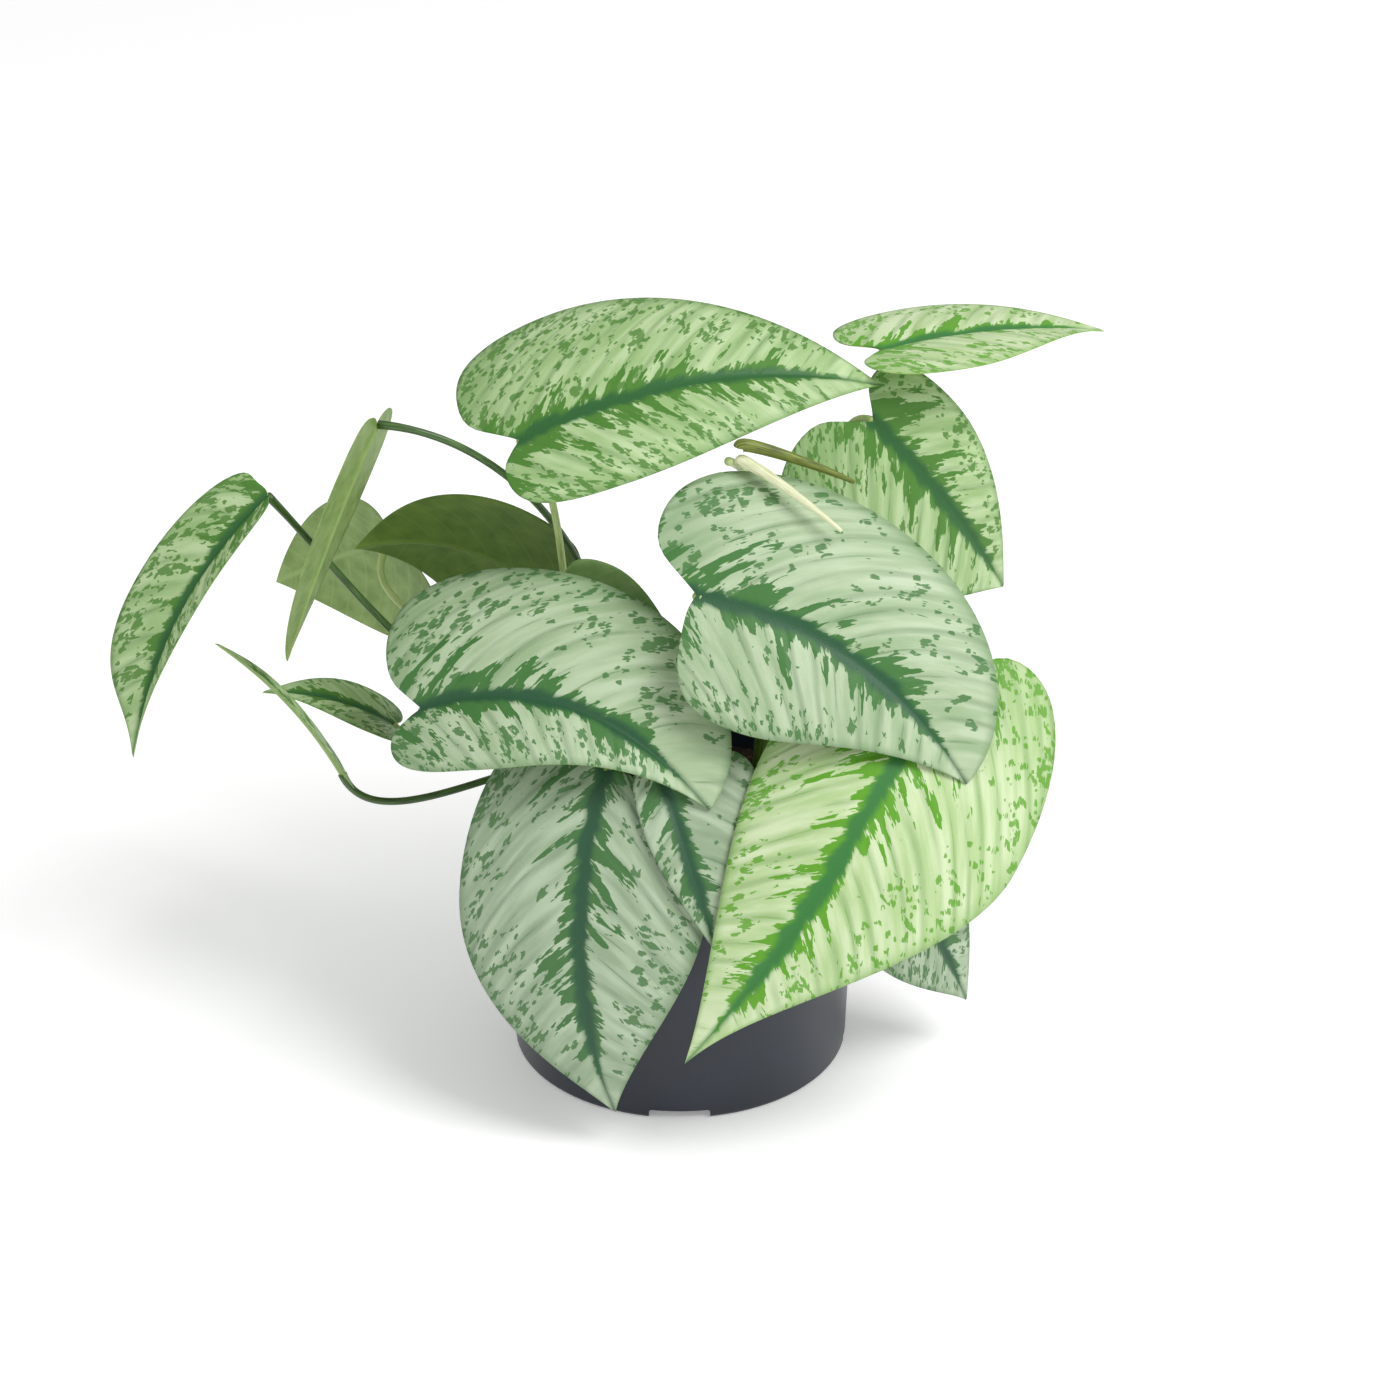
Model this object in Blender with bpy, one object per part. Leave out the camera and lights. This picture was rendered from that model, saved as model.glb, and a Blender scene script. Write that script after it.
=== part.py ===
"""A satin pothos in a moulded nursery pot: pot, compost, vine stems, leaf stalks and leaf blades.

Metres, +Z up. The origin is the middle of the pot's foot, and the plant's front faces -Y.
"""

import math

import bmesh
import bpy
import numpy as np
from mathutils import Vector

CLEARANCE = 0.0003

POT_HEIGHT = 0.083
POT_RIM_RADIUS = 0.055
POT_FOOT_RADIUS = 0.050
POT_WALL = 0.0015
POT_FLOOR = 0.0020
POT_STEPS = 48
RIM_BAND_HEIGHT = 0.008
RIM_BAND_DEPTH = 0.0020
FOOT_RECESS = 0.0030
FOOT_RING_WIDTH = 0.012
FOOT_CORNER = 0.0015
CENTRE_PAD_RADIUS = 0.012
CHANNEL_WIDTH = 0.018
CHANNEL_COUNT = 4
DRAIN_RADIUS = 0.004
DRAIN_CIRCLE_RADIUS = 0.026

SOIL_BELOW_RIM = 0.012
SOIL_MOUND = 0.003
STEM_SOCKET_DEPTH = 0.020

STEM_RADIUS = 0.0024
STEM_SIDES = 8
PETIOLE_RADIUS = 0.0013
PETIOLE_SIDES = 6
PETIOLE_STEPS = 12
PETIOLE_TILT = 0.35
PETIOLE_LEAVE = 0.30
PETIOLE_ARRIVE = 0.35
SHOOT_RADIUS = 0.0018
NEW_LEAF_AT = (0.014, -0.010, 0.111)
NEW_LEAF_LIFT = 0.012
NEW_LEAF_TAPER = 0.7
NEW_LEAF_DROP = (0.028, -0.016, -0.014)
ROLL_LIFT = 0.002
SHEATH_ABOVE = 0.0004
SHEATH_DROP = (0.032, 0.002, -0.012)
SHEATH_LIFT = 0.002
SHEATH_RADIUS = 0.0024

LEAF_THICKNESS = 0.0008
LEAF_ROWS = 13
LEAF_COLUMNS = 7
SINUS_SHARE = 0.14
WIDEST_SHARE = 0.42
WIDEST = (0.24, 0.24)
FULL = (0.0, 0.0)
UNLIFTED = 0.0
MIDRIB_SPACING = 2.3

# The plant's places across and behind the pot's axis are set out round a rim of this radius.
SET_OUT_RADIUS = 0.055

# Vines: place across and behind the axis, height above the compost, and lean of the top.
VINES = {
    "vine_left": dict(at=(-0.030, 0.004), height=0.040, lean=(-0.006, 0.003)),
    "vine_back": dict(at=(-0.018, 0.026), height=0.052, lean=(-0.004, 0.004)),
    "vine_right": dict(at=(0.022, 0.034), height=0.070, lean=(0.008, 0.002)),
    "vine_front_right": dict(at=(0.030, -0.010), height=0.030, lean=(0.005, -0.002)),
    "vine_front": dict(at=(0.002, -0.018), height=0.026, lean=(0.000, -0.003)),
}

# Leaves. base: place of the stalk's end, as across, behind, and above the rim. heading: the way
# the midrib points, turned from +X. slope: its rise. roll: how far the upper side turns to the
# leaf's left. halves: half widths, left and right. arch and sweep: bow of the midrib, upwards and
# to the left. fold: rise of each half from the midrib. curl: how far each edge bends back down.
# lobe: how far each lobe reaches behind the base, as a share of the length. joins: share of the
# vine's height at which the stalk leaves it. stalk: the stalk's slant under the blade, from
# square to it, positive in line with the midrib and negative back under it. A leaf may also set,
# left and right, widest: the share of the length where it is widest, and full: how full the edge
# stays towards the tip. rise: how steeply its stalk leaves the vine. upright: how far the stalk
# stands straight up where it meets the blade.
LEAVES = {
    "leaf_top": dict(
        vine="vine_back", joins=0.80, base=(-0.045, 0.000, 0.113), heading=12, slope=4, roll=-28,
        length=0.105, halves=(0.043, 0.026), arch=0.012, sweep=0.002, fold=(8, 8), curl=35,
        lobe=(0.12, 0.06), widest=(0.16, 0.24), full=(0.1, 0.2), stalk=-35,
    ),
    "leaf_top_right": dict(
        vine="vine_right", joins=0.96, base=(0.059, 0.037, 0.125), heading=21, slope=-4, roll=3,
        length=0.071, halves=(0.027, 0.026), arch=0.003, sweep=0.0, fold=(12, 12), curl=25,
        lobe=(0.14, 0.14), stalk=0,
    ),
    "leaf_right": dict(
        vine="vine_right", joins=0.78, base=(0.056, 0.024, 0.108), heading=28, slope=-54, roll=-80,
        length=0.079, halves=(0.023, 0.045), arch=0.005, sweep=0.0, fold=(8, 8), curl=25,
        lobe=(0.12, 0.18), stalk=10,
    ),
    "leaf_middle": dict(
        vine="vine_front", joins=0.92, base=(0.005, -0.0325, 0.0803), heading=-17, slope=-31,
        roll=-50, length=0.092, halves=(0.041, 0.034), arch=0.003, sweep=0.010, fold=(8, 8),
        curl=30, lobe=(0.14, 0.02), full=(0.8, 0.1), stalk=-30,
    ),
    "leaf_front_right": dict(
        vine="vine_front_right", joins=0.90, base=(0.070, -0.0395, 0.0525), heading=-152, slope=-52,
        roll=52, length=0.126, halves=(0.046, 0.036), arch=0.014, sweep=0.004, fold=(5, -5),
        curl=30, lobe=(0.15, 0.10), full=(-0.5, 0.0), stalk=-20,
    ),
    "leaf_centre_left": dict(
        vine="vine_left", joins=0.90, base=(-0.074, -0.0208, 0.0384), heading=-21, slope=-10,
        roll=-33, length=0.090, halves=(0.040, 0.024), arch=0.013, sweep=0.010, fold=(22, 15),
        curl=30, lobe=(0.08, 0.08), full=(0.9, 0.0), stalk=-40,
    ),
    "leaf_front_left": dict(
        vine="vine_front", joins=0.45, base=(-0.021, -0.041, 0.029), heading=-84, slope=-76,
        roll=-12, length=0.102, halves=(0.036, 0.038), arch=0.012, sweep=-0.007, fold=(12, 0),
        curl=30, lobe=(0.00, 0.08), widest=(0.34, 0.36), full=(0.1, 0.0), stalk=-10,
    ),
    "leaf_front_middle": dict(
        vine="vine_front", joins=0.72, base=(-0.005, -0.0446, 0.0315), heading=-55, slope=-59,
        roll=-30, length=0.056, halves=(0.026, 0.010), arch=0.003, sweep=0.0, fold=(0, 8),
        curl=10, lobe=(0.02, 0.04), rise=0.55, stalk=12,
    ),
    "leaf_far_left": dict(
        vine="vine_left", joins=0.76, base=(-0.118, 0.010, 0.091), heading=-152, slope=-58,
        roll=13, length=0.087, halves=(0.011, 0.019), arch=0.004, sweep=-0.006, fold=(32, 20),
        curl=15, lobe=(0.00, 0.00), widest=(0.40, 0.55), stalk=-20,
    ),
    "leaf_edge_left": dict(
        vine="vine_back", joins=0.97, base=(-0.085, 0.002, 0.117), heading=-160, slope=-67,
        roll=-36, length=0.076, halves=(0.019, 0.019), arch=0.001, sweep=0.0, fold=(8, 8),
        curl=15, lobe=(0.04, 0.04), full=(0.5, 0.5), rise=0.85, stalk=20,
    ),
    "leaf_back": dict(
        vine="vine_back", joins=0.62, base=(-0.088, 0.062, 0.051), heading=142, slope=-30,
        roll=-80, length=0.056, halves=(0.018, 0.034), arch=0.004, sweep=0.0, fold=(8, 8), curl=20,
        lobe=(0.06, 0.12), full=(0.4, 0.2), upright=0.35, stalk=-10,
    ),
    "leaf_back_inner": dict(
        vine="vine_back", joins=0.30, base=(-0.042, 0.034, 0.050), heading=172, slope=9, roll=-66,
        length=0.056, halves=(0.030, 0.026), arch=0.004, sweep=0.006, fold=(8, 8), curl=25,
        lobe=(0.10, 0.10), stalk=-10,
    ),
    "leaf_small_left": dict(
        vine="vine_left", joins=0.62, base=(-0.086, 0.024, 0.009), heading=-176, slope=18,
        roll=-5, length=0.040, halves=(0.017, 0.017), arch=0.003, sweep=0.0, fold=(10, 10),
        curl=15, lobe=(0.08, 0.08), stalk=55,
    ),
    "leaf_thin_left": dict(
        vine="vine_left", joins=0.46, base=(-0.099, -0.004, 0.008), heading=180, slope=51,
        roll=-18, length=0.055, halves=(0.015, 0.015), arch=0.003, sweep=0.0, fold=(10, 10),
        curl=15, lobe=(0.06, 0.06), stalk=70,
    ),
    "leaf_low_right": dict(
        vine="vine_front_right", joins=0.62, base=(0.058, -0.023, -0.008), heading=28, slope=-62,
        roll=-65, length=0.068, halves=(0.024, 0.024), arch=0.003, sweep=0.0, fold=(8, 8),
        curl=20, lobe=(0.10, 0.10), rise=0.30, stalk=80,
    ),
    "leaf_inner": dict(
        vine="vine_left", joins=0.98, base=(-0.032, 0.001, 0.064), heading=-20, slope=-18,
        roll=95, length=0.036, halves=(0.014, 0.014), arch=0.002, sweep=0.0, fold=(8, 8),
        curl=20, lobe=(0.08, 0.08), stalk=0,
    ),
}


def clear_scene():
    for obj in list(bpy.data.objects):
        bpy.data.objects.remove(obj)


def material(name, colour, roughness):
    """A finish with a linear base colour and a roughness."""
    made = bpy.data.materials.new(name)
    made.use_nodes = True
    shader = made.node_tree.nodes["Principled BSDF"]
    shader.inputs["Base Color"].default_value = (*colour, 1.0)
    shader.inputs["Roughness"].default_value = roughness
    shader.inputs["Metallic"].default_value = 0.0
    return made


def add_object(name, mesh, finish):
    obj = bpy.data.objects.new(name, mesh)
    bpy.context.scene.collection.objects.link(obj)
    mesh.materials.append(finish)
    mesh.shade_smooth()
    mesh.set_sharp_from_angle(angle=math.radians(35))
    return obj


def turned(name, profile, finish, steps=POT_STEPS):
    """A solid turned about the Z axis from a profile of radius and height, both ends on the axis."""
    bm = bmesh.new()
    points = [bm.verts.new((radius, 0.0, height)) for radius, height in profile]
    edges = [bm.edges.new(pair) for pair in zip(points, points[1:])]
    bmesh.ops.spin(
        bm, geom=points + edges, axis=(0, 0, 1), cent=(0, 0, 0), angle=math.tau, steps=steps,
        use_merge=True,
    )
    bmesh.ops.remove_doubles(bm, verts=bm.verts, dist=0.00001)
    bmesh.ops.recalc_face_normals(bm, faces=bm.faces)
    mesh = bpy.data.meshes.new(name)
    bm.to_mesh(mesh)
    bm.free()
    return add_object(name, mesh, finish)


def tube(name, points, radii, finish, sides):
    """A closed round tube along points, with a radius at each."""
    bm = bmesh.new()
    rings = []
    across = None
    for index, point in enumerate(points):
        ahead = points[min(index + 1, len(points) - 1)]
        behind = points[max(index - 1, 0)]
        along = (ahead - behind).normalized()
        if across is None:
            across = along.orthogonal()
        across = (across - along * across.dot(along)).normalized()
        beside = along.cross(across)
        ring = []
        for side in range(sides):
            turn = math.tau * side / sides
            offset = (across * math.cos(turn) + beside * math.sin(turn)) * radii[index]
            ring.append(bm.verts.new(point + offset))
        rings.append(ring)
    for lower, upper in zip(rings, rings[1:]):
        for side in range(sides):
            after = (side + 1) % sides
            bm.faces.new((lower[side], lower[after], upper[after], upper[side]))
    bm.faces.new(rings[0][::-1])
    bm.faces.new(rings[-1])
    mesh = bpy.data.meshes.new(name)
    bm.to_mesh(mesh)
    bm.free()
    return add_object(name, mesh, finish)


def bezier(controls, share):
    """The point at a share of the way along a cubic curve."""
    rest = 1 - share
    a, b, c, d = controls
    return a * rest**3 + b * 3 * rest**2 * share + c * 3 * rest * share**2 + d * share**3


def cut(target, cutter):
    cutter.hide_render = True
    cutter.display_type = "WIRE"
    boolean = target.modifiers.new("cut_" + cutter.name, "BOOLEAN")
    boolean.operation = "DIFFERENCE"
    boolean.object = cutter


# The pot: a tapered wall with a band at the rim, on a ring foot crossed by drain channels.


def wall_radius(height):
    """The pot's outer radius below its rim band."""
    top = POT_RIM_RADIUS - RIM_BAND_DEPTH
    return POT_FOOT_RADIUS + (top - POT_FOOT_RADIUS) * height / POT_HEIGHT


def inner_radius(height):
    return wall_radius(height) - POT_WALL


def make_pot(finish):
    floor_top = FOOT_RECESS + POT_FLOOR
    band_foot = POT_HEIGHT - RIM_BAND_HEIGHT
    ring_inner = POT_FOOT_RADIUS - FOOT_RING_WIDTH
    lip = RIM_BAND_DEPTH / 2
    profile = [
        (0.0, 0.0),
        (CENTRE_PAD_RADIUS, 0.0),
        (CENTRE_PAD_RADIUS, FOOT_RECESS),
        (ring_inner, FOOT_RECESS),
        (ring_inner, 0.0),
        (POT_FOOT_RADIUS - FOOT_CORNER, 0.0),
        (wall_radius(FOOT_CORNER), FOOT_CORNER),
        (wall_radius(band_foot), band_foot),
        (POT_RIM_RADIUS, band_foot + lip),
        (POT_RIM_RADIUS, POT_HEIGHT - lip),
        (POT_RIM_RADIUS - lip, POT_HEIGHT),
        (inner_radius(POT_HEIGHT), POT_HEIGHT),
        (inner_radius(floor_top), floor_top),
        (0.0, floor_top),
    ]
    pot = turned("pot", profile, finish)
    for index in range(CHANNEL_COUNT):
        turn = -math.pi / 2 + math.tau * index / CHANNEL_COUNT
        outward = Vector((math.cos(turn), math.sin(turn), 0.0))
        cut(pot, channel_cutter(f"channel_cutter_{index}", turn, outward, ring_inner))
        cut(pot, drain_cutter(f"drain_cutter_{index}", outward, floor_top))


def channel_cutter(name, turn, outward, ring_inner):
    """A box across the ring foot, as tall as the recess under the floor."""
    start = ring_inner - POT_WALL
    end = POT_FOOT_RADIUS + FOOT_RING_WIDTH
    bm = bmesh.new()
    bmesh.ops.create_cube(bm, size=1.0)
    sides = (end - start, CHANNEL_WIDTH, FOOT_RECESS * 2)
    bmesh.ops.scale(bm, vec=sides, verts=bm.verts)
    mesh = bpy.data.meshes.new(name)
    bm.to_mesh(mesh)
    bm.free()
    cutter = bpy.data.objects.new(name, mesh)
    bpy.context.scene.collection.objects.link(cutter)
    cutter.location = outward * (start + end) / 2
    cutter.rotation_euler.z = turn
    return cutter


def drain_cutter(name, outward, floor_top):
    bm = bmesh.new()
    bmesh.ops.create_cone(
        bm, cap_ends=True, segments=16, radius1=DRAIN_RADIUS, radius2=DRAIN_RADIUS,
        depth=floor_top * 3,
    )
    mesh = bpy.data.meshes.new(name)
    bm.to_mesh(mesh)
    bm.free()
    cutter = bpy.data.objects.new(name, mesh)
    bpy.context.scene.collection.objects.link(cutter)
    cutter.location = outward * DRAIN_CIRCLE_RADIUS
    return cutter


# The compost: one plug that fills the pot to just under the rim, with a socket for each vine.


def soil_height(radius):
    """The compost's top, a low mound that meets the wall."""
    edge = POT_HEIGHT - SOIL_BELOW_RIM
    return edge + SOIL_MOUND * (1 - (radius / POT_RIM_RADIUS) ** 2)


def make_soil(finish):
    bottom = FOOT_RECESS + POT_FLOOR + CLEARANCE
    edge = POT_HEIGHT - SOIL_BELOW_RIM
    edge_radius = inner_radius(edge) - CLEARANCE
    profile = [(0.0, bottom), (inner_radius(bottom) - CLEARANCE, bottom)]
    for share in (1.0, 0.75, 0.5, 0.25, 0.0):
        radius = edge_radius * share
        profile.append((radius, soil_height(radius)))
    soil = turned("soil", profile, finish)
    for name, vine in VINES.items():
        foot, top = vine_ends(vine)
        below = foot - (top - foot).normalized() * CLEARANCE
        radii = [STEM_RADIUS + CLEARANCE * 2] * 2
        cut(soil, tube(name + "_socket_cutter", [below, top], radii, finish, STEM_SIDES * 2))


# The vines: short stems that stand in the compost, each carrying several leaf stalks.


def spread(point):
    """A point of the plant as set out, moved across and behind as the pot's rim widens."""
    ratio = POT_RIM_RADIUS / SET_OUT_RADIUS
    return Vector((point.x * ratio, point.y * ratio, point.z))


def vine_ends(vine):
    across, behind = vine["at"]
    surface = POT_HEIGHT - SOIL_BELOW_RIM
    lean_across, lean_behind = vine["lean"]
    foot = Vector((across, behind, surface - STEM_SOCKET_DEPTH))
    top = Vector((across + lean_across, behind + lean_behind, surface + vine["height"]))
    return spread(foot), spread(top)


def vine_point(vine, share):
    """A point on the vine's middle line, at a share of its height above the compost."""
    foot, top = vine_ends(vine)
    surface = STEM_SOCKET_DEPTH / (STEM_SOCKET_DEPTH + vine["height"])
    return foot.lerp(top, surface + (1 - surface) * share)


def make_vine(name, vine, finish):
    foot, top = vine_ends(vine)
    points = [foot.lerp(top, step / 6) for step in range(7)]
    tube(name, points, [STEM_RADIUS] * len(points), finish, STEM_SIDES)


# The leaf blades: heart-shaped sheets, bowed along the midrib, folded at it and curled at the edge.


def half_outline(share, lobe, widest, full):
    """A half leaf's edge, as a share of the length and of the half width, from sinus to tip."""
    if share <= SINUS_SHARE:
        controls = [(0, 0), (-0.02, 0.13), (-lobe, 0.16), (-lobe, 0.42)]
        local = share / SINUS_SHARE
    elif share <= WIDEST_SHARE:
        controls = [(-lobe, 0.42), (-lobe, 0.80), (widest - 0.22, 1.0), (widest, 1.0)]
        local = (share - SINUS_SHARE) / (WIDEST_SHARE - SINUS_SHARE)
    else:
        shoulder = widest + 0.28 + 0.14 * full
        flank = (0.80 + 0.16 * full, 0.27 + 0.40 * full)
        controls = [(widest, 1.0), (shoulder, 1.0), flank, (1, 0)]
        local = (share - WIDEST_SHARE) / (1 - WIDEST_SHARE)
    return bezier([np.array(point, float) for point in controls], local)


def leaf_axes(leaf):
    """The base as set out, and the directions along the midrib, out of the upper side and left."""
    across, behind, rise = leaf["base"]
    base = Vector((across, behind, POT_HEIGHT + rise))
    heading = math.radians(leaf["heading"])
    slope = math.radians(leaf["slope"])
    roll = math.radians(leaf["roll"])
    along = Vector((
        math.cos(heading) * math.cos(slope), math.sin(heading) * math.cos(slope), math.sin(slope)
    ))
    left = Vector((-math.sin(heading), math.cos(heading), 0.0))
    up = along.cross(left)
    normal = up * math.cos(roll) + left * math.sin(roll)
    return base, along, normal, normal.cross(along)


def leaf_point(leaf, lengthwise, crosswise):
    """The blade's point at a share of its length, and a distance from the midrib, left positive."""
    base, along, normal, left = leaf_axes(leaf)
    bow = 4 * lengthwise * (1 - lengthwise) if lengthwise >= 0 else 4 * lengthwise
    turn = 4 * (1 - 2 * lengthwise) if lengthwise >= 0 else 4
    rise = leaf["arch"]
    drift = leaf["sweep"]
    middle = base + along * leaf["length"] * lengthwise + normal * rise * bow + left * drift * bow
    tangent = (along * leaf["length"] + normal * rise * turn + left * drift * turn).normalized()
    side = normal.cross(tangent).normalized()
    face = tangent.cross(side)
    sign = 1 if crosswise >= 0 else -1
    half = leaf["halves"][0 if sign > 0 else 1]
    fold = math.radians(leaf["fold"][0 if sign > 0 else 1])
    bend = math.radians(leaf["curl"]) / half
    reach = abs(crosswise)
    level = (math.sin(fold) - math.sin(fold - bend * reach)) / bend
    lift = (math.cos(fold - bend * reach) - math.cos(fold)) / bend
    return spread(middle + side * sign * level + face * lift)


def make_leaf(name, leaf, finish):
    bm = bmesh.new()
    rows = []
    for row in range(LEAF_ROWS):
        share = row / (LEAF_ROWS - 1)
        middle = share**MIDRIB_SPACING
        if row in (0, LEAF_ROWS - 1):
            rows.append([bm.verts.new(leaf_point(leaf, middle, 0.0))] * LEAF_COLUMNS)
            continue
        points = []
        for column in range(LEAF_COLUMNS):
            side = 2 * column / (LEAF_COLUMNS - 1) - 1
            which = 0 if side >= 0 else 1
            half = leaf["halves"][which]
            widest = leaf.get("widest", WIDEST)[which]
            full = leaf.get("full", FULL)[which]
            edge_along, edge_across = half_outline(share, leaf["lobe"][which], widest, full)
            lengthwise = middle + (edge_along - middle) * abs(side)
            points.append(bm.verts.new(leaf_point(leaf, lengthwise, edge_across * half * side)))
        rows.append(points)
    for lower, upper in zip(rows, rows[1:]):
        for column in range(LEAF_COLUMNS - 1):
            corners = [lower[column], upper[column], upper[column + 1], lower[column + 1]]
            bm.faces.new(list(dict.fromkeys(corners)))
    mesh = bpy.data.meshes.new(name)
    bm.to_mesh(mesh)
    bm.free()
    blade = add_object(name, mesh, finish)
    sheet = blade.modifiers.new("blade_thickness", "SOLIDIFY")
    sheet.thickness = LEAF_THICKNESS
    sheet.offset = 0.0


def make_petiole(name, leaf, finish):
    """The stalk from a vine's side to the leaf's base, which it reaches from under the blade."""
    base, along, normal, _ = leaf_axes(leaf)
    base = spread(base)
    node = vine_point(VINES[leaf["vine"]], leaf["joins"])
    outward = (base - node) * Vector((1, 1, 0))
    outward.normalize()
    leave = outward.lerp(Vector((0.0, 0.0, 1.0)), leaf.get("rise", UNLIFTED)).normalized()
    tilt = PETIOLE_RADIUS * (leave.z + PETIOLE_TILT)
    start = node + outward * (STEM_RADIUS + CLEARANCE + tilt)
    slant = math.radians(leaf["stalk"])
    arrive = along * math.sin(slant) + normal * math.cos(slant)
    arrive = arrive.lerp(Vector((0.0, 0.0, 1.0)), leaf.get("upright", UNLIFTED)).normalized()
    end = base - arrive * (LEAF_THICKNESS + CLEARANCE + PETIOLE_RADIUS)
    reach = (end - start).length
    controls = [
        start,
        start + leave * reach * PETIOLE_LEAVE,
        end - arrive * reach * PETIOLE_ARRIVE,
        end,
    ]
    points = [bezier(controls, step / PETIOLE_STEPS) for step in range(PETIOLE_STEPS + 1)]
    tube(name, points, [PETIOLE_RADIUS] * len(points), finish, PETIOLE_SIDES)


# The new leaf: a tight roll on its own stalk, with the split sheath that it came out of.


def drooping(name, start, end, lift, radii, finish, sides):
    """A tube from start to end that first keeps on upwards by lift."""
    controls = [start, start + Vector((0.0, 0.0, lift)), start.lerp(end, 0.6), end]
    controls[2].z += lift
    steps = len(radii) - 1
    points = [bezier(controls, step / steps) for step in range(steps + 1)]
    tube(name, points, radii, finish, sides)


def make_new_leaf(roll_finish, stalk_finish):
    _, top = vine_ends(VINES["vine_right"])
    across, behind, rise = NEW_LEAF_AT
    collar = spread(Vector((across, behind, POT_HEIGHT + rise)))
    gap = Vector((0.0, 0.0, CLEARANCE + PETIOLE_RADIUS * PETIOLE_TILT))
    straight = [PETIOLE_RADIUS] * (PETIOLE_STEPS + 1)
    drooping("petiole_new", top + gap, collar, NEW_LEAF_LIFT, straight, stalk_finish, PETIOLE_SIDES)
    shares = [step / PETIOLE_STEPS for step in range(PETIOLE_STEPS + 1)]
    narrowing = [SHOOT_RADIUS * (1 - NEW_LEAF_TAPER * share**2) for share in shares]
    clear = Vector((SHOOT_RADIUS + PETIOLE_RADIUS + CLEARANCE, 0.0, 0.0))
    foot = collar + clear
    tip = foot + Vector(NEW_LEAF_DROP)
    drooping("new_leaf", foot, tip, ROLL_LIFT, narrowing, roll_finish, STEM_SIDES)
    above = SHOOT_RADIUS + SHEATH_RADIUS + SHEATH_ABOVE
    foot = foot + Vector((0.0, 0.0, above))
    tip = foot + Vector(SHEATH_DROP)
    sheath = [SHEATH_RADIUS * radius / SHOOT_RADIUS for radius in narrowing]
    drooping("leaf_sheath", foot, tip, SHEATH_LIFT, sheath, stalk_finish, STEM_SIDES)


def main():
    clear_scene()
    make_pot(material("black_plastic", (0.022, 0.028, 0.042), 0.42))
    make_soil(material("compost", (0.030, 0.020, 0.013), 0.95))
    for name, vine in VINES.items():
        make_vine(name, vine, material("vine_" + name, (0.110, 0.170, 0.040), 0.50))
    for name, leaf in LEAVES.items():
        make_leaf(name, leaf, material(name, (0.380, 0.560, 0.330), 0.45))
        stalk = name.replace("leaf", "petiole", 1)
        make_petiole(stalk, leaf, material(stalk, (0.300, 0.380, 0.130), 0.50))
    make_new_leaf(
        material("new_leaf", (0.620, 0.700, 0.420), 0.45),
        material("sheath", (0.200, 0.260, 0.050), 0.55),
    )


main()
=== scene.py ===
import math
import random

import bmesh
import bpy
import numpy as np
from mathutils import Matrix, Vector, noise


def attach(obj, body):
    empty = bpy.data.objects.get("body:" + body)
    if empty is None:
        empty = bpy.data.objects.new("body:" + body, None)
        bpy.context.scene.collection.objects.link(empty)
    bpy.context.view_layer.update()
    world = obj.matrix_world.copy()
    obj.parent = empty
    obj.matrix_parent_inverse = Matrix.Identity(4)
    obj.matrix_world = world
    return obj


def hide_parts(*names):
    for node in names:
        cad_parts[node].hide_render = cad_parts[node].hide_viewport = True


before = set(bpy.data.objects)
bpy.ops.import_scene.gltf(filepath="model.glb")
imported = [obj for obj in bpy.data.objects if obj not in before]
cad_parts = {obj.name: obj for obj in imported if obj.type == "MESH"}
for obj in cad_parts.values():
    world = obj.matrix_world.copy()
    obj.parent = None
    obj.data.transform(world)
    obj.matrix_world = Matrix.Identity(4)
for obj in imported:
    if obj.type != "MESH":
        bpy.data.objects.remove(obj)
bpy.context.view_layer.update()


# The pot: one thin moulded polypropylene nursery pot, tapered to the foot, with a thicker band at
# the rim. It stands on a ring foot crossed by four drain channels, and its floor has a hole in
# line with each. It came out of the mould dark navy, with a satin skin.

pot_height = 0.083
rim_radius = 0.055
foot_radius = 0.050
pot_wall = 0.0015
floor_thickness = 0.0020
band_height = 0.008
band_depth = 0.0020
foot_recess = 0.0030
foot_ring_width = 0.012
foot_corner = 0.0015
centre_pad_radius = 0.012
channel_width = 0.018
drain_radius = 0.004
drain_circle_radius = 0.026
clearance = 0.0003


def linear(code):
    """A linear colour from an sRGB hex code."""
    parts = [int(code[place:place + 2], 16) / 255 for place in (1, 3, 5)]
    straight = [p / 12.92 if p <= 0.04045 else ((p + 0.055) / 1.055) ** 2.4 for p in parts]
    return (*straight, 1.0)


def add_node(tree, kind, *inputs, **settings):
    """A node with its settings. Its inputs, as values or other nodes, are in order or by name."""
    made = tree.nodes.new("ShaderNode" + kind)
    for name, value in settings.items():
        setattr(made, name, value)
    by_name = bool(inputs) and isinstance(inputs[0], dict)
    for name, value in inputs[0].items() if by_name else enumerate(inputs):
        if isinstance(value, bpy.types.Node):
            value = value.outputs[0]
        if isinstance(value, bpy.types.NodeSocket):
            tree.links.new(value, made.inputs[name])
        else:
            made.inputs[name].default_value = value
    return made


def new_material(name, roughness, coat=0.0, specular=0.5):
    made = bpy.data.materials.new(name)
    made.use_nodes = True
    shader = made.node_tree.nodes["Principled BSDF"]
    shader.inputs["Roughness"].default_value = roughness
    shader.inputs["Coat Weight"].default_value = coat
    shader.inputs["Specular IOR Level"].default_value = specular
    return made, made.node_tree, shader


def add_piece(mesh, materials, slot_name, *nodes):
    """A finished piece that stands for its CAD nodes and rides on the one body."""
    piece = bpy.data.objects.new(mesh.name, mesh)
    bpy.context.scene.collection.objects.link(piece)
    for made in materials:
        mesh.materials.append(made)
    mesh.shade_smooth()
    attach(piece, "root")
    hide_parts(*nodes)
    return piece


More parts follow.
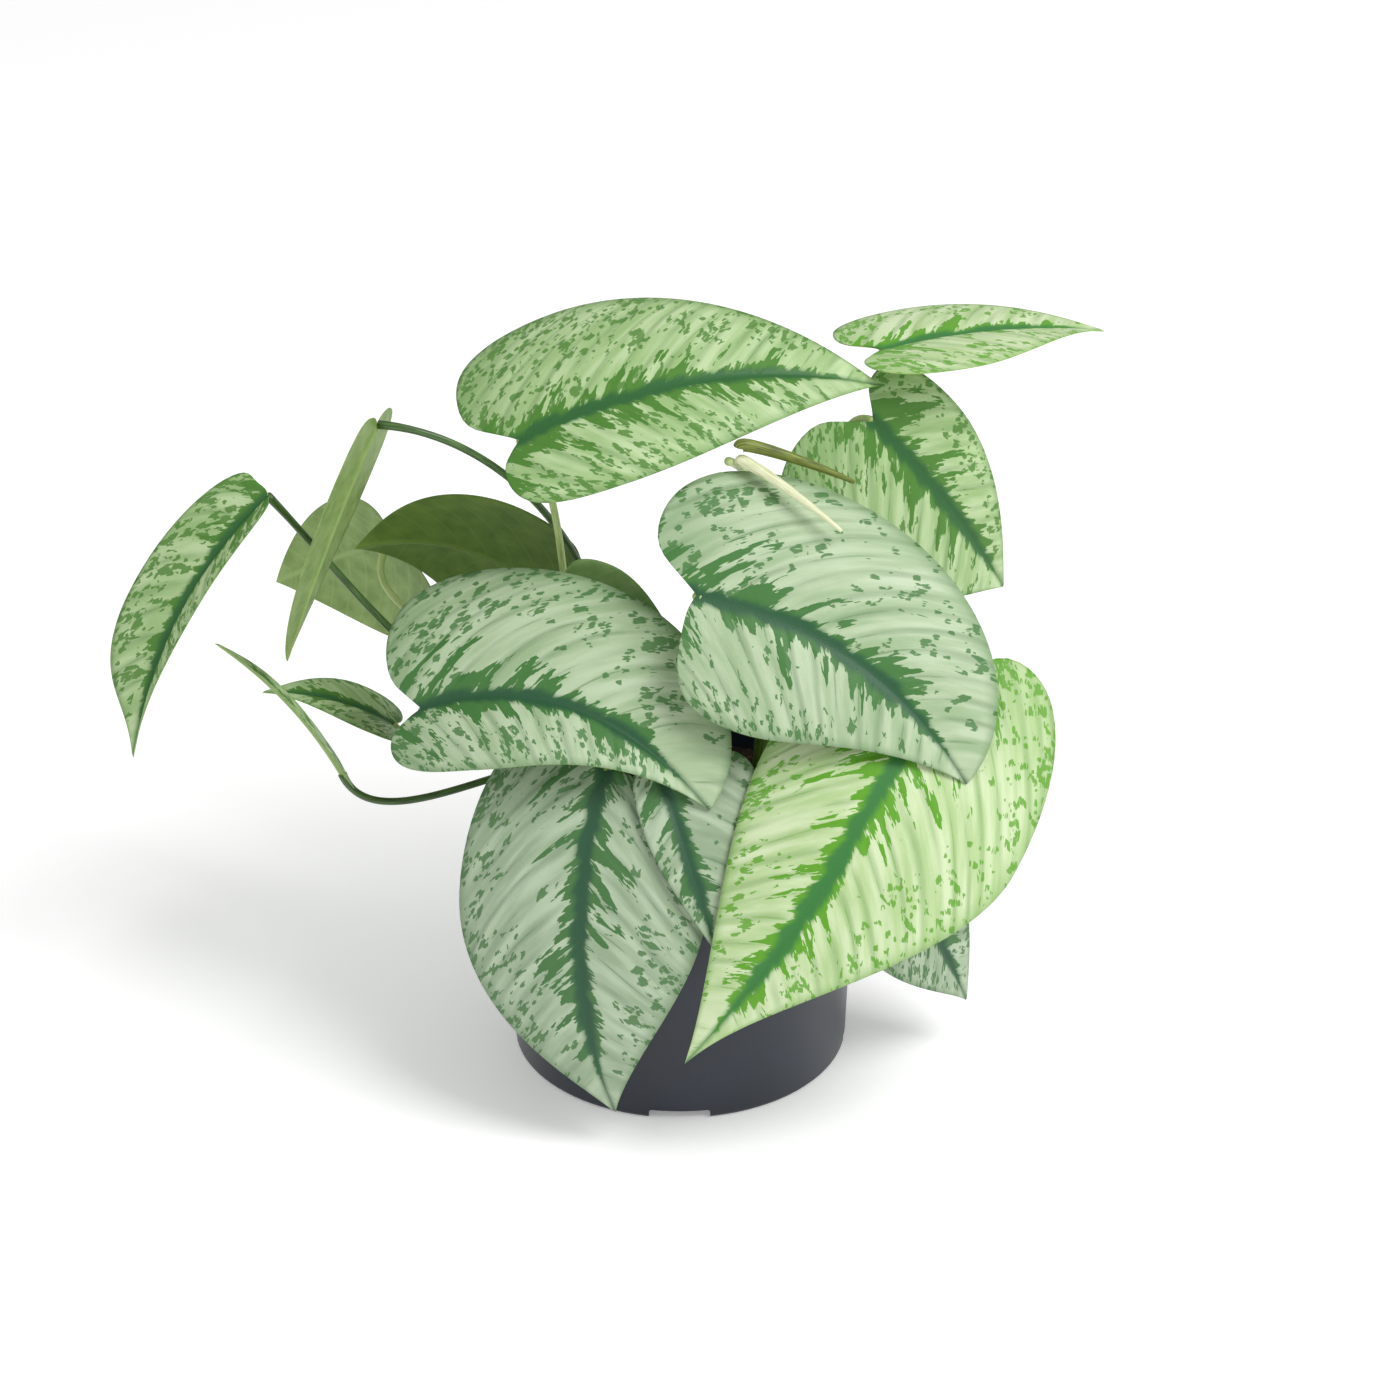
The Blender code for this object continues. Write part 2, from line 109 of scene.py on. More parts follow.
def wall_radius(height):
    top = rim_radius - band_depth
    return foot_radius + (top - foot_radius) * height / pot_height


def spun(name, profile, steps):
    """A mesh turned about Z from a profile of radius and height with both ends on the axis."""
    bm = bmesh.new()
    points = [bm.verts.new((radius, 0.0, height)) for radius, height in profile]
    edges = [bm.edges.new(pair) for pair in zip(points, points[1:])]
    bmesh.ops.spin(
        bm, geom=points + edges, axis=(0, 0, 1), cent=(0, 0, 0), angle=math.tau, steps=steps,
        use_merge=True,
    )
    bmesh.ops.remove_doubles(bm, verts=bm.verts, dist=0.00001)
    bmesh.ops.recalc_face_normals(bm, faces=bm.faces)
    mesh = bpy.data.meshes.new(name)
    bm.to_mesh(mesh)
    bm.free()
    return mesh


def pot_plastic():
    """Polypropylene: a dark satin skin, faintly mottled where it cooled."""
    made, tree, shader = new_material("moulded_polypropylene", 0.36)
    place = add_node(tree, "TexCoord").outputs["Object"]
    mottle = add_node(tree, "TexNoise", {"Vector": place, "Scale": 35.0, "Detail": 4.0})
    tint = add_node(tree, "ValToRGB", {"Fac": mottle.outputs["Fac"]})
    tint.color_ramp.elements[0].position = 0.30
    tint.color_ramp.elements[0].color = linear("#161c29")
    tint.color_ramp.elements[1].position = 0.75
    tint.color_ramp.elements[1].color = linear("#232a39")
    tree.links.new(tint.outputs["Color"], shader.inputs["Base Color"])
    gloss = add_node(tree, "MapRange", {
        "Value": mottle.outputs["Fac"], "To Min": 0.30, "To Max": 0.46})
    tree.links.new(gloss.outputs["Result"], shader.inputs["Roughness"])
    # The mould's skin has a grain of about 0.4 mm.
    grain = add_node(tree, "TexNoise", {"Vector": place, "Scale": 2500.0, "Detail": 2.0})
    relief = add_node(tree, "Bump", {
        "Height": grain.outputs["Fac"], "Strength": 0.10, "Distance": 0.0001})
    tree.links.new(relief.outputs["Normal"], shader.inputs["Normal"])
    return made


def make_pot():
    floor_top = foot_recess + floor_thickness
    band_foot = pot_height - band_height
    ring_inner = foot_radius - foot_ring_width
    lip = band_depth / 2
    corner = foot_corner
    profile = [
        (0.0, 0.0),
        (centre_pad_radius, 0.0),
        (centre_pad_radius, foot_recess),
        (ring_inner, foot_recess),
        (ring_inner, 0.0),
        (foot_radius - corner, 0.0),
        (foot_radius - corner * 0.45, corner * 0.18),
        (foot_radius - corner * 0.10, corner * 0.55),
        (wall_radius(corner), corner),
        (wall_radius(band_foot) - 0.0001, band_foot - 0.0006),
        (wall_radius(band_foot), band_foot),
        (rim_radius - lip * 0.2, band_foot + lip * 0.7),
        (rim_radius, band_foot + lip * 1.6),
        (rim_radius, pot_height - lip),
        (rim_radius - lip * 0.3, pot_height - lip * 0.3),
        (rim_radius - lip, pot_height),
        (wall_radius(pot_height) - pot_wall, pot_height),
        (wall_radius(floor_top) - pot_wall, floor_top),
        (0.0, floor_top),
    ]
    mesh = spun("pot", profile, 128)
    pot = add_piece(mesh, [pot_plastic()], "pot", "pot")
    for index in range(4):
        turn = -math.pi / 2 + math.tau * index / 4
        outward = Vector((math.cos(turn), math.sin(turn), 0.0))
        start = ring_inner - pot_wall
        end = foot_radius + foot_ring_width
        bm = bmesh.new()
        bmesh.ops.create_cube(bm, size=1.0)
        bmesh.ops.scale(bm, vec=(end - start, channel_width, foot_recess * 2), verts=bm.verts)
        bmesh.ops.bevel(
            bm, geom=bm.edges, offset=0.0008, segments=3, affect="EDGES", profile=0.5,
        )
        cut_from(pot, bm, outward * (start + end) / 2, turn)
        bm = bmesh.new()
        bmesh.ops.create_cone(
            bm, cap_ends=True, segments=32, radius1=drain_radius, radius2=drain_radius,
            depth=floor_top * 3,
        )
        cut_from(pot, bm, outward * drain_circle_radius, 0.0)
    pot.data.set_sharp_from_angle(angle=math.radians(32))


def cut_from(target, bm, place, turn):
    """Cuts a closed shape out of a piece and keeps only the piece."""
    mesh = bpy.data.meshes.new("cutter")
    bm.to_mesh(mesh)
    bm.free()
    cutter = bpy.data.objects.new("cutter", mesh)
    bpy.context.scene.collection.objects.link(cutter)
    cutter.location = place
    cutter.rotation_euler.z = turn
    boolean = target.modifiers.new("cut", "BOOLEAN")
    boolean.object = cutter
    bpy.context.view_layer.update()
    graph = bpy.context.evaluated_depsgraph_get()
    result = bpy.data.meshes.new_from_object(target.evaluated_get(graph))
    target.modifiers.remove(boolean)
    target.data = result
    bpy.data.objects.remove(cutter)


make_pot()


# The compost: damp milled peat with a little bark, pressed in to just under the rim. Its top is
# rough, with loose crumbs lying on it, and its foot is flat, just clear of the pot's floor.

soil_below_rim = 0.012
soil_mound = 0.003
stem_socket_depth = 0.020
crumb_count = 260
crumb_radii = (0.0006, 0.0017)


def peat():
    """Milled peat: near black when damp, dull, with paler bark specks of about 2 mm."""
    made, tree, shader = new_material("milled_peat", 0.92, specular=0.25)
    place = add_node(tree, "TexCoord").outputs["Object"]
    crumb = add_node(tree, "TexNoise", {"Vector": place, "Scale": 420.0, "Detail": 6.0})
    tint = add_node(tree, "ValToRGB", {"Fac": crumb.outputs["Fac"]})
    for position, code in ((0.55, "#2a1d15"), (0.68, "#4b3524")):
        step = tint.color_ramp.elements.new(position)
        step.color = linear(code)
    tint.color_ramp.elements[0].color = linear("#120c08")
    tint.color_ramp.elements[-1].color = linear("#7a5c3f")
    tree.links.new(tint.outputs["Color"], shader.inputs["Base Color"])
    relief = add_node(tree, "Bump", {
        "Height": crumb.outputs["Fac"], "Strength": 0.9, "Distance": 0.0012})
    tree.links.new(relief.outputs["Normal"], shader.inputs["Normal"])
    return made


def make_soil():
    bottom = foot_recess + floor_thickness + clearance
    edge = pot_height - soil_below_rim
    edge_radius = wall_radius(edge) - pot_wall - clearance
    profile = [(0.0, bottom), (wall_radius(bottom) - pot_wall - clearance, bottom)]
    rings = 44
    for ring in range(rings, -1, -1):
        radius = edge_radius * ring / rings
        profile.append((radius, edge + soil_mound * (1 - (radius / rim_radius) ** 2)))
    mesh = spun("soil", profile, 160)
    for vertex in mesh.vertices:
        place = vertex.co
        radius = math.hypot(place.x, place.y)
        if place.z > edge - 0.0005 and radius < edge_radius * 0.985:
            rough = noise.noise(place * 260) + 0.6 * noise.noise(place * 610)
            vertex.co.z += rough * 0.0011 - 0.0006
    bm = bmesh.new()
    bm.from_mesh(mesh)
    chance = random.Random(7)
    for _ in range(crumb_count):
        turn = chance.uniform(0, math.tau)
        radius = edge_radius * 0.95 * math.sqrt(chance.random())
        size = chance.uniform(*crumb_radii)
        centre = Vector((math.cos(turn) * radius, math.sin(turn) * radius, 0))
        centre.z = edge + soil_mound * (1 - (radius / rim_radius) ** 2)
        made = bmesh.ops.create_icosphere(bm, subdivisions=2, radius=size)
        for vertex in made["verts"]:
            rough = 1 + 0.55 * noise.noise(vertex.co * 900 + centre * 4000)
            vertex.co = centre + vertex.co * rough
    bm.to_mesh(mesh)
    bm.free()
    add_piece(mesh, [peat()], "soil", "soil")


make_soil()


# The vines: short jointed stems that stand in the compost, each about 5 mm thick. A stem is green
# and a little shiny, and swells slightly at every joint.

stem_radius = 0.0024
joint_spacing = 0.014
# Place across and behind the axis, height above the compost, and lean of the top.
vines = {
    "vine_left": ((-0.030, 0.004), 0.040, (-0.006, 0.003)),
    "vine_back": ((-0.018, 0.026), 0.052, (-0.004, 0.004)),
    "vine_right": ((0.022, 0.034), 0.070, (0.008, 0.002)),
    "vine_front_right": ((0.030, -0.010), 0.030, (0.005, -0.002)),
    "vine_front": ((0.002, -0.018), 0.026, (0.000, -0.003)),
}


def vine_ends(vine):
    (across, behind), height, (lean_across, lean_behind) = vines[vine]
    surface = pot_height - soil_below_rim
    foot = Vector((across, behind, surface - stem_socket_depth))
    return foot, Vector((across + lean_across, behind + lean_behind, surface + height))


def vine_point(vine, share):
    """A point on a vine's middle line, at a share of its height above the compost."""
    foot, top = vine_ends(vine)
    start = stem_socket_depth / (stem_socket_depth + vines[vine][1])
    return foot.lerp(top, start + (1 - start) * share)


def tube(name, points, radii, sides, squash=None):
    """A closed tube along points with a radius at each, and UV in millimetres along and round."""
    bm = bmesh.new()
    layer = bm.loops.layers.uv.new("surface_mm")
    rings = []
    across = None
    walked = [0.0]
    for before, after in zip(points, points[1:]):
        walked.append(walked[-1] + (after - before).length * 1000)
    for index, point in enumerate(points):
        ahead = points[min(index + 1, len(points) - 1)]
        behind = points[max(index - 1, 0)]
        along = (ahead - behind).normalized()
        across = along.orthogonal() if across is None else across
        across = (across - along * across.dot(along)).normalized()
        beside = along.cross(across)
        ring = []
        for side in range(sides):
            turn = math.tau * side / sides
            reach = radii[index] * (squash(index / (len(points) - 1), turn) if squash else 1.0)
            ring.append(bm.verts.new(point + (across * math.cos(turn) + beside * math.sin(turn)) * reach))
        rings.append(ring)
    round_mm = math.tau * max(radii) * 1000 / sides
    for index, (lower, upper) in enumerate(zip(rings, rings[1:])):
        for side in range(sides):
            after = (side + 1) % sides
            face = bm.faces.new((lower[side], lower[after], upper[after], upper[side]))
            spots = ((0, 0), (0, 1), (1, 1), (1, 0))
            for loop, (up, beyond) in zip(face.loops, spots):
                loop[layer].uv = (walked[index + up], (side + beyond) * round_mm)
    bm.faces.new(rings[0][::-1])
    bm.faces.new(rings[-1])
    mesh = bpy.data.meshes.new(name)
    bm.to_mesh(mesh)
    bm.free()
    return mesh


def bezier(controls, share):
    """The point at a share of the way along a cubic curve."""
    rest = 1 - share
    a, b, c, d = controls
    return a * rest**3 + b * 3 * rest**2 * share + c * 3 * rest * share**2 + d * share**3


def stalk_skin(name, dark, pale, roughness):
    """Living stem skin: darker and paler green streaks that run along it, a little waxy."""
    made, tree, shader = new_material(name, roughness, coat=0.12)
    spot = add_node(tree, "UVMap", uv_map="surface_mm")
    # The streaks are about 0.5 mm wide and 6 mm long.
    stretch = add_node(tree, "VectorMath", {
        0: spot.outputs["UV"], 1: (0.16, 2.0, 1.0)}, operation="MULTIPLY")
    streak = add_node(tree, "TexNoise", {
        "Vector": stretch.outputs["Vector"], "Scale": 1.0, "Detail": 3.0})
    tint = add_node(tree, "ValToRGB", {"Fac": streak.outputs["Fac"]})
    tint.color_ramp.elements[0].position = 0.32
    tint.color_ramp.elements[0].color = linear(dark)
    tint.color_ramp.elements[1].position = 0.68
    tint.color_ramp.elements[1].color = linear(pale)
    tree.links.new(tint.outputs["Color"], shader.inputs["Base Color"])
    relief = add_node(tree, "Bump", {
        "Height": streak.outputs["Fac"], "Strength": 0.25, "Distance": 0.0002})
    tree.links.new(relief.outputs["Normal"], shader.inputs["Normal"])
    return made


def make_vines():
    skin = stalk_skin("vine_skin", "#2c4214", "#5d7a2c", 0.42)
    for name in vines:
        foot, top = vine_ends(name)
        steps = 40
        points = [foot.lerp(top, step / steps) for step in range(steps + 1)]
        # Each joint swells the stem, and the stem between is a little thinner.
        length = (top - foot).length
        radii = []
        for step in range(steps + 1):
            joint = math.cos(math.tau * length * step / steps / joint_spacing)
            radii.append(stem_radius * (0.86 + 0.14 * max(0.0, joint) ** 6))
        radii[-1] = stem_radius * 0.55
        radii[-2] = stem_radius * 0.80
        add_piece(tube(name, points, radii, 20), [skin], "vine", name)


make_vines()


# The leaf blades: thick heart-shaped leaves, bowed along the midrib, folded at it, with the two
# lobes and the edges curled down. Air under the upper skin makes the silver, and green shows
# through along the midrib, in fingers beside the side veins, and in flecks nearer the edge.

leaf_thickness = 0.0008
sinus_share = 0.14
widest_share = 0.42
usual_widest = (0.24, 0.24)
usual_full = (0.0, 0.0)
unlifted = 0.0
midrib_spacing = 2.3
vein_spacing_mm = 8.0
ridge_height = 0.00026
groove_depth = 0.00030
rib_height = 0.0009
# Leaves. base: place of the stalk's end, as across, behind, and above the rim. heading: the way
# the midrib points, turned from +X. slope: its rise. roll: how far the upper side turns to the
# leaf's left. halves: half widths, left and right. arch and sweep: bow of the midrib, upwards and
# to the left. fold: rise of each half from the midrib. curl: how far each edge bends back down.
# lobe: how far each lobe reaches behind the base, as a share of the length. joins: share of the
# vine's height at which the stalk leaves it. stalk: the stalk's slant under the blade, from
# square to it, positive in line with the midrib and negative back under it. A leaf may also set,
# left and right, widest: the share of the length where it is widest, and full: how full the edge
# stays towards the tip. rise: how steeply its stalk leaves the vine. upright: how far the stalk
# stands straight up where it meets the blade.
leaves = {
    "leaf_top": dict(
        vine="vine_back", joins=0.80, base=(-0.045, 0.000, 0.113), heading=12, slope=4, roll=-28,
        length=0.105, halves=(0.043, 0.026), arch=0.012, sweep=0.002, fold=(8, 8), curl=35,
        lobe=(0.12, 0.06), widest=(0.16, 0.24), full=(0.1, 0.2), stalk=-35,
    ),
    "leaf_top_right": dict(
        vine="vine_right", joins=0.96, base=(0.059, 0.037, 0.125), heading=21, slope=-4, roll=3,
        length=0.071, halves=(0.027, 0.026), arch=0.003, sweep=0.0, fold=(12, 12), curl=25,
        lobe=(0.14, 0.14), stalk=0,
    ),
    "leaf_right": dict(
        vine="vine_right", joins=0.78, base=(0.056, 0.024, 0.108), heading=28, slope=-54, roll=-80,
        length=0.079, halves=(0.023, 0.045), arch=0.005, sweep=0.0, fold=(8, 8), curl=25,
        lobe=(0.12, 0.18), stalk=10,
    ),
    "leaf_middle": dict(
        vine="vine_front", joins=0.92, base=(0.005, -0.0325, 0.0803), heading=-17, slope=-31,
        roll=-50, length=0.092, halves=(0.041, 0.034), arch=0.003, sweep=0.010, fold=(8, 8),
        curl=30, lobe=(0.14, 0.02), full=(0.8, 0.1), stalk=-30,
    ),
    "leaf_front_right": dict(
        vine="vine_front_right", joins=0.90, base=(0.070, -0.0395, 0.0525), heading=-152, slope=-52,
        roll=52, length=0.126, halves=(0.046, 0.036), arch=0.014, sweep=0.004, fold=(5, -5),
        curl=30, lobe=(0.15, 0.10), full=(-0.5, 0.0), stalk=-20,
    ),
    "leaf_centre_left": dict(
        vine="vine_left", joins=0.90, base=(-0.074, -0.0208, 0.0384), heading=-21, slope=-10,
        roll=-33, length=0.090, halves=(0.040, 0.024), arch=0.013, sweep=0.010, fold=(22, 15),
        curl=30, lobe=(0.08, 0.08), full=(0.9, 0.0), stalk=-40,
    ),
    "leaf_front_left": dict(
        vine="vine_front", joins=0.45, base=(-0.021, -0.041, 0.029), heading=-84, slope=-76,
        roll=-12, length=0.102, halves=(0.036, 0.038), arch=0.012, sweep=-0.007, fold=(12, 0),
        curl=30, lobe=(0.00, 0.08), widest=(0.34, 0.36), full=(0.1, 0.0), stalk=-10,
    ),
    "leaf_front_middle": dict(
        vine="vine_front", joins=0.72, base=(-0.005, -0.0446, 0.0315), heading=-55, slope=-59,
        roll=-30, length=0.056, halves=(0.026, 0.010), arch=0.003, sweep=0.0, fold=(0, 8),
        curl=10, lobe=(0.02, 0.04), rise=0.55, stalk=12,
    ),
    "leaf_far_left": dict(
        vine="vine_left", joins=0.76, base=(-0.118, 0.010, 0.091), heading=-152, slope=-58,
        roll=13, length=0.087, halves=(0.011, 0.019), arch=0.004, sweep=-0.006, fold=(32, 20),
        curl=15, lobe=(0.00, 0.00), widest=(0.40, 0.55), stalk=-20,
    ),
    "leaf_edge_left": dict(
        vine="vine_back", joins=0.97, base=(-0.085, 0.002, 0.117), heading=-160, slope=-67,
        roll=-36, length=0.076, halves=(0.019, 0.019), arch=0.001, sweep=0.0, fold=(8, 8),
        curl=15, lobe=(0.04, 0.04), full=(0.5, 0.5), rise=0.85, stalk=20,
    ),
    "leaf_back": dict(
        vine="vine_back", joins=0.62, base=(-0.088, 0.062, 0.051), heading=142, slope=-30,
        roll=-80, length=0.056, halves=(0.018, 0.034), arch=0.004, sweep=0.0, fold=(8, 8), curl=20,
        lobe=(0.06, 0.12), full=(0.4, 0.2), upright=0.35, stalk=-10,
    ),
    "leaf_back_inner": dict(
        vine="vine_back", joins=0.30, base=(-0.042, 0.034, 0.050), heading=172, slope=9, roll=-66,
        length=0.056, halves=(0.030, 0.026), arch=0.004, sweep=0.006, fold=(8, 8), curl=25,
        lobe=(0.10, 0.10), stalk=-10,
    ),
    "leaf_small_left": dict(
        vine="vine_left", joins=0.62, base=(-0.086, 0.024, 0.009), heading=-176, slope=18,
        roll=-5, length=0.040, halves=(0.017, 0.017), arch=0.003, sweep=0.0, fold=(10, 10),
        curl=15, lobe=(0.08, 0.08), stalk=55,
    ),
    "leaf_thin_left": dict(
        vine="vine_left", joins=0.46, base=(-0.099, -0.004, 0.008), heading=180, slope=51,
        roll=-18, length=0.055, halves=(0.015, 0.015), arch=0.003, sweep=0.0, fold=(10, 10),
        curl=15, lobe=(0.06, 0.06), stalk=70,
    ),
    "leaf_low_right": dict(
        vine="vine_front_right", joins=0.62, base=(0.058, -0.023, -0.008), heading=28, slope=-62,
        roll=-65, length=0.068, halves=(0.024, 0.024), arch=0.003, sweep=0.0, fold=(8, 8),
        curl=20, lobe=(0.10, 0.10), rise=0.30, stalk=80,
    ),
    "leaf_inner": dict(
        vine="vine_left", joins=0.98, base=(-0.032, 0.001, 0.064), heading=-20, slope=-18,
        roll=95, length=0.036, halves=(0.014, 0.014), arch=0.002, sweep=0.0, fold=(8, 8),
        curl=20, lobe=(0.08, 0.08), stalk=0,
    ),
}


def half_outline(share, lobe, widest, full):
    """A half leaf's edge, as a share of the length and of the half width, from sinus to tip."""
    if share <= sinus_share:
        controls = [(0, 0), (-0.02, 0.13), (-lobe, 0.16), (-lobe, 0.42)]
        local = share / sinus_share
    elif share <= widest_share:
        controls = [(-lobe, 0.42), (-lobe, 0.80), (widest - 0.22, 1.0), (widest, 1.0)]
        local = (share - sinus_share) / (widest_share - sinus_share)
    else:
        shoulder = widest + 0.28 + 0.14 * full
        flank = (0.80 + 0.16 * full, 0.27 + 0.40 * full)
        controls = [(widest, 1.0), (shoulder, 1.0), flank, (1, 0)]
        local = (share - widest_share) / (1 - widest_share)
    return bezier([np.array(point, float) for point in controls], local)


def leaf_axes(leaf):
    """The leaf's base, and its directions along the midrib, out of the upper side and leftwards."""
    across, behind, rise = leaf["base"]
    base = Vector((across, behind, pot_height + rise))
    heading = math.radians(leaf["heading"])
    slope = math.radians(leaf["slope"])
    roll = math.radians(leaf["roll"])
    along = Vector((
        math.cos(heading) * math.cos(slope), math.sin(heading) * math.cos(slope), math.sin(slope)
    ))
    left = Vector((-math.sin(heading), math.cos(heading), 0.0))
    normal = along.cross(left) * math.cos(roll) + left * math.sin(roll)
    return base, along, normal, normal.cross(along)


def leaf_point(leaf, lengthwise, crosswise, lift=0.0):
    """The blade's point at a share of its length and a distance from the midrib, left positive."""
    base, along, normal, left = leaf_axes(leaf)
    bow = 4 * lengthwise * (1 - lengthwise) if lengthwise >= 0 else 4 * lengthwise
    turn = 4 * (1 - 2 * lengthwise) if lengthwise >= 0 else 4
    bowed = normal * leaf["arch"] + left * leaf["sweep"]
    middle = base + along * leaf["length"] * lengthwise + bowed * bow
    tangent = (along * leaf["length"] + bowed * turn).normalized()
    side = normal.cross(tangent).normalized()
    face = tangent.cross(side)
    sign = 1 if crosswise >= 0 else -1
    which = 0 if sign > 0 else 1
    fold = math.radians(leaf["fold"][which])
    bend = math.radians(leaf["curl"]) / leaf["halves"][which]
    reach = abs(crosswise)
    level = (math.sin(fold) - math.sin(fold - bend * reach)) / bend
    rise = (math.cos(fold - bend * reach) - math.cos(fold)) / bend
    return middle + side * sign * level + face * (rise + lift)


def leaf_relief(along_mm, across_mm, share_across, side):
    """The height of the skin: sunken veins with soft ridges between them, and a sunk midrib."""
    vein = along_mm - 0.62 * across_mm - 0.013 * across_mm**2
    wander = noise.noise(Vector((vein / 17, across_mm / 30, side * 5.0)))
    phase = vein / vein_spacing_mm + 0.45 * wander
    ridge = abs((phase % 1) - 0.5) * 2
    proud = 0.65 + 0.7 * noise.noise(Vector((vein / 11, across_mm / 22, 40.0 + side)))
    quilt = (1 - ridge**2.2) * ridge_height * proud * min(1, across_mm / 6) * (1 - share_across**4)
    groove = -groove_depth * math.exp(-((across_mm / 1.1) ** 2))
    return quilt + groove


def blade_mesh(name, leaf, rows=64, half_columns=18):
    """The two skins, 0.3 to 0.5 mm apart and 1 mm at the midrib, and the edge between them."""
    bm = bmesh.new()
    spot = bm.loops.layers.uv.new("blade_mm")
    shares = bm.loops.layers.uv.new("blade_share")
    length_mm = leaf["length"] * 1000
    grid = []
    columns = 2 * half_columns + 1
    for row in range(rows + 1):
        share = row / rows
        middle = share**midrib_spacing
        upper = []
        for column in range(columns):
            side = (column - half_columns) / half_columns
            which = 0 if side >= 0 else 1
            half = leaf["halves"][which]
            widest = leaf.get("widest", usual_widest)[which]
            full = leaf.get("full", usual_full)[which]
            edge_along, edge_across = half_outline(share, leaf["lobe"][which], widest, full)
            lengthwise = middle + (edge_along - middle) * abs(side)
            crosswise = edge_across * half * side
            if row in (0, rows):
                lengthwise, crosswise = middle, 0.0
            across_mm = abs(crosswise) * 1000
            tight = 1 - abs(side) ** 6
            lift = leaf_relief(lengthwise * length_mm, across_mm, abs(side), 2 * which - 1) * tight
            plump = (1 - abs(side) ** 3) * math.sin(math.pi * max(0.02, share)) ** 0.3 if row < rows else 0
            thick = leaf_thickness * (0.34 + 0.30 * plump)
            rib = rib_height * math.exp(-(across_mm**2)) * (1 - middle) ** 0.6 if 0 < row < rows else 0.0
            top = leaf_point(leaf, lengthwise, crosswise, thick / 2 + lift)
            low = leaf_point(leaf, lengthwise, crosswise, -thick / 2 + lift * 0.6 - rib * 0.6)
            upper.append((top, low, (lengthwise * length_mm, crosswise * 1000), (share, side)))
        grid.append(upper)
    tops, lows = [], []
    for row, cells in enumerate(grid):
        if row in (0, rows):
            top = bm.verts.new(cells[half_columns][0])
            low = bm.verts.new(cells[half_columns][1])
            tops.append([top] * columns)
            lows.append([low] * columns)
        else:
            tops.append([bm.verts.new(cell[0]) for cell in cells])
            lows.append([bm.verts.new(cell[1]) for cell in cells])

    def add_face(corners, spots, material_index):
        kept = []
        for vertex, (r, c) in zip(corners, spots):
            if vertex not in [done[0] for done in kept]:
                kept.append((vertex, (r, c)))
        if len(kept) < 3:
            return
        face = bm.faces.new([vertex for vertex, _ in kept])
        face.material_index = material_index
        for loop, (_, (r, c)) in zip(face.loops, kept):
            loop[spot].uv = grid[r][c][2]
            loop[shares].uv = grid[r][c][3]

    for r in range(rows):
        for c in range(columns - 1):
            places = [(r, c), (r + 1, c), (r + 1, c + 1), (r, c + 1)]
            add_face([tops[a][b] for a, b in places], places, 0)
            add_face([lows[a][b] for a, b in places][::-1], places[::-1], 1)
        for c, flip in ((0, False), (columns - 1, True)):
            corners = [tops[r][c], lows[r][c], lows[r + 1][c], tops[r + 1][c]]
            places = [(r, c), (r, c), (r + 1, c), (r + 1, c)]
            if flip:
                corners, places = corners[::-1], places[::-1]
            add_face(corners, places, 1)
    bmesh.ops.recalc_face_normals(bm, faces=bm.faces)
    mesh = bpy.data.meshes.new(name)
    bm.to_mesh(mesh)
    bm.free()
    return mesh


def blended(first, second, share):
    """A share of the way from one colour to another, in linear light."""
    return tuple(a + (b - a) * share for a, b in zip(linear(first), linear(second)))


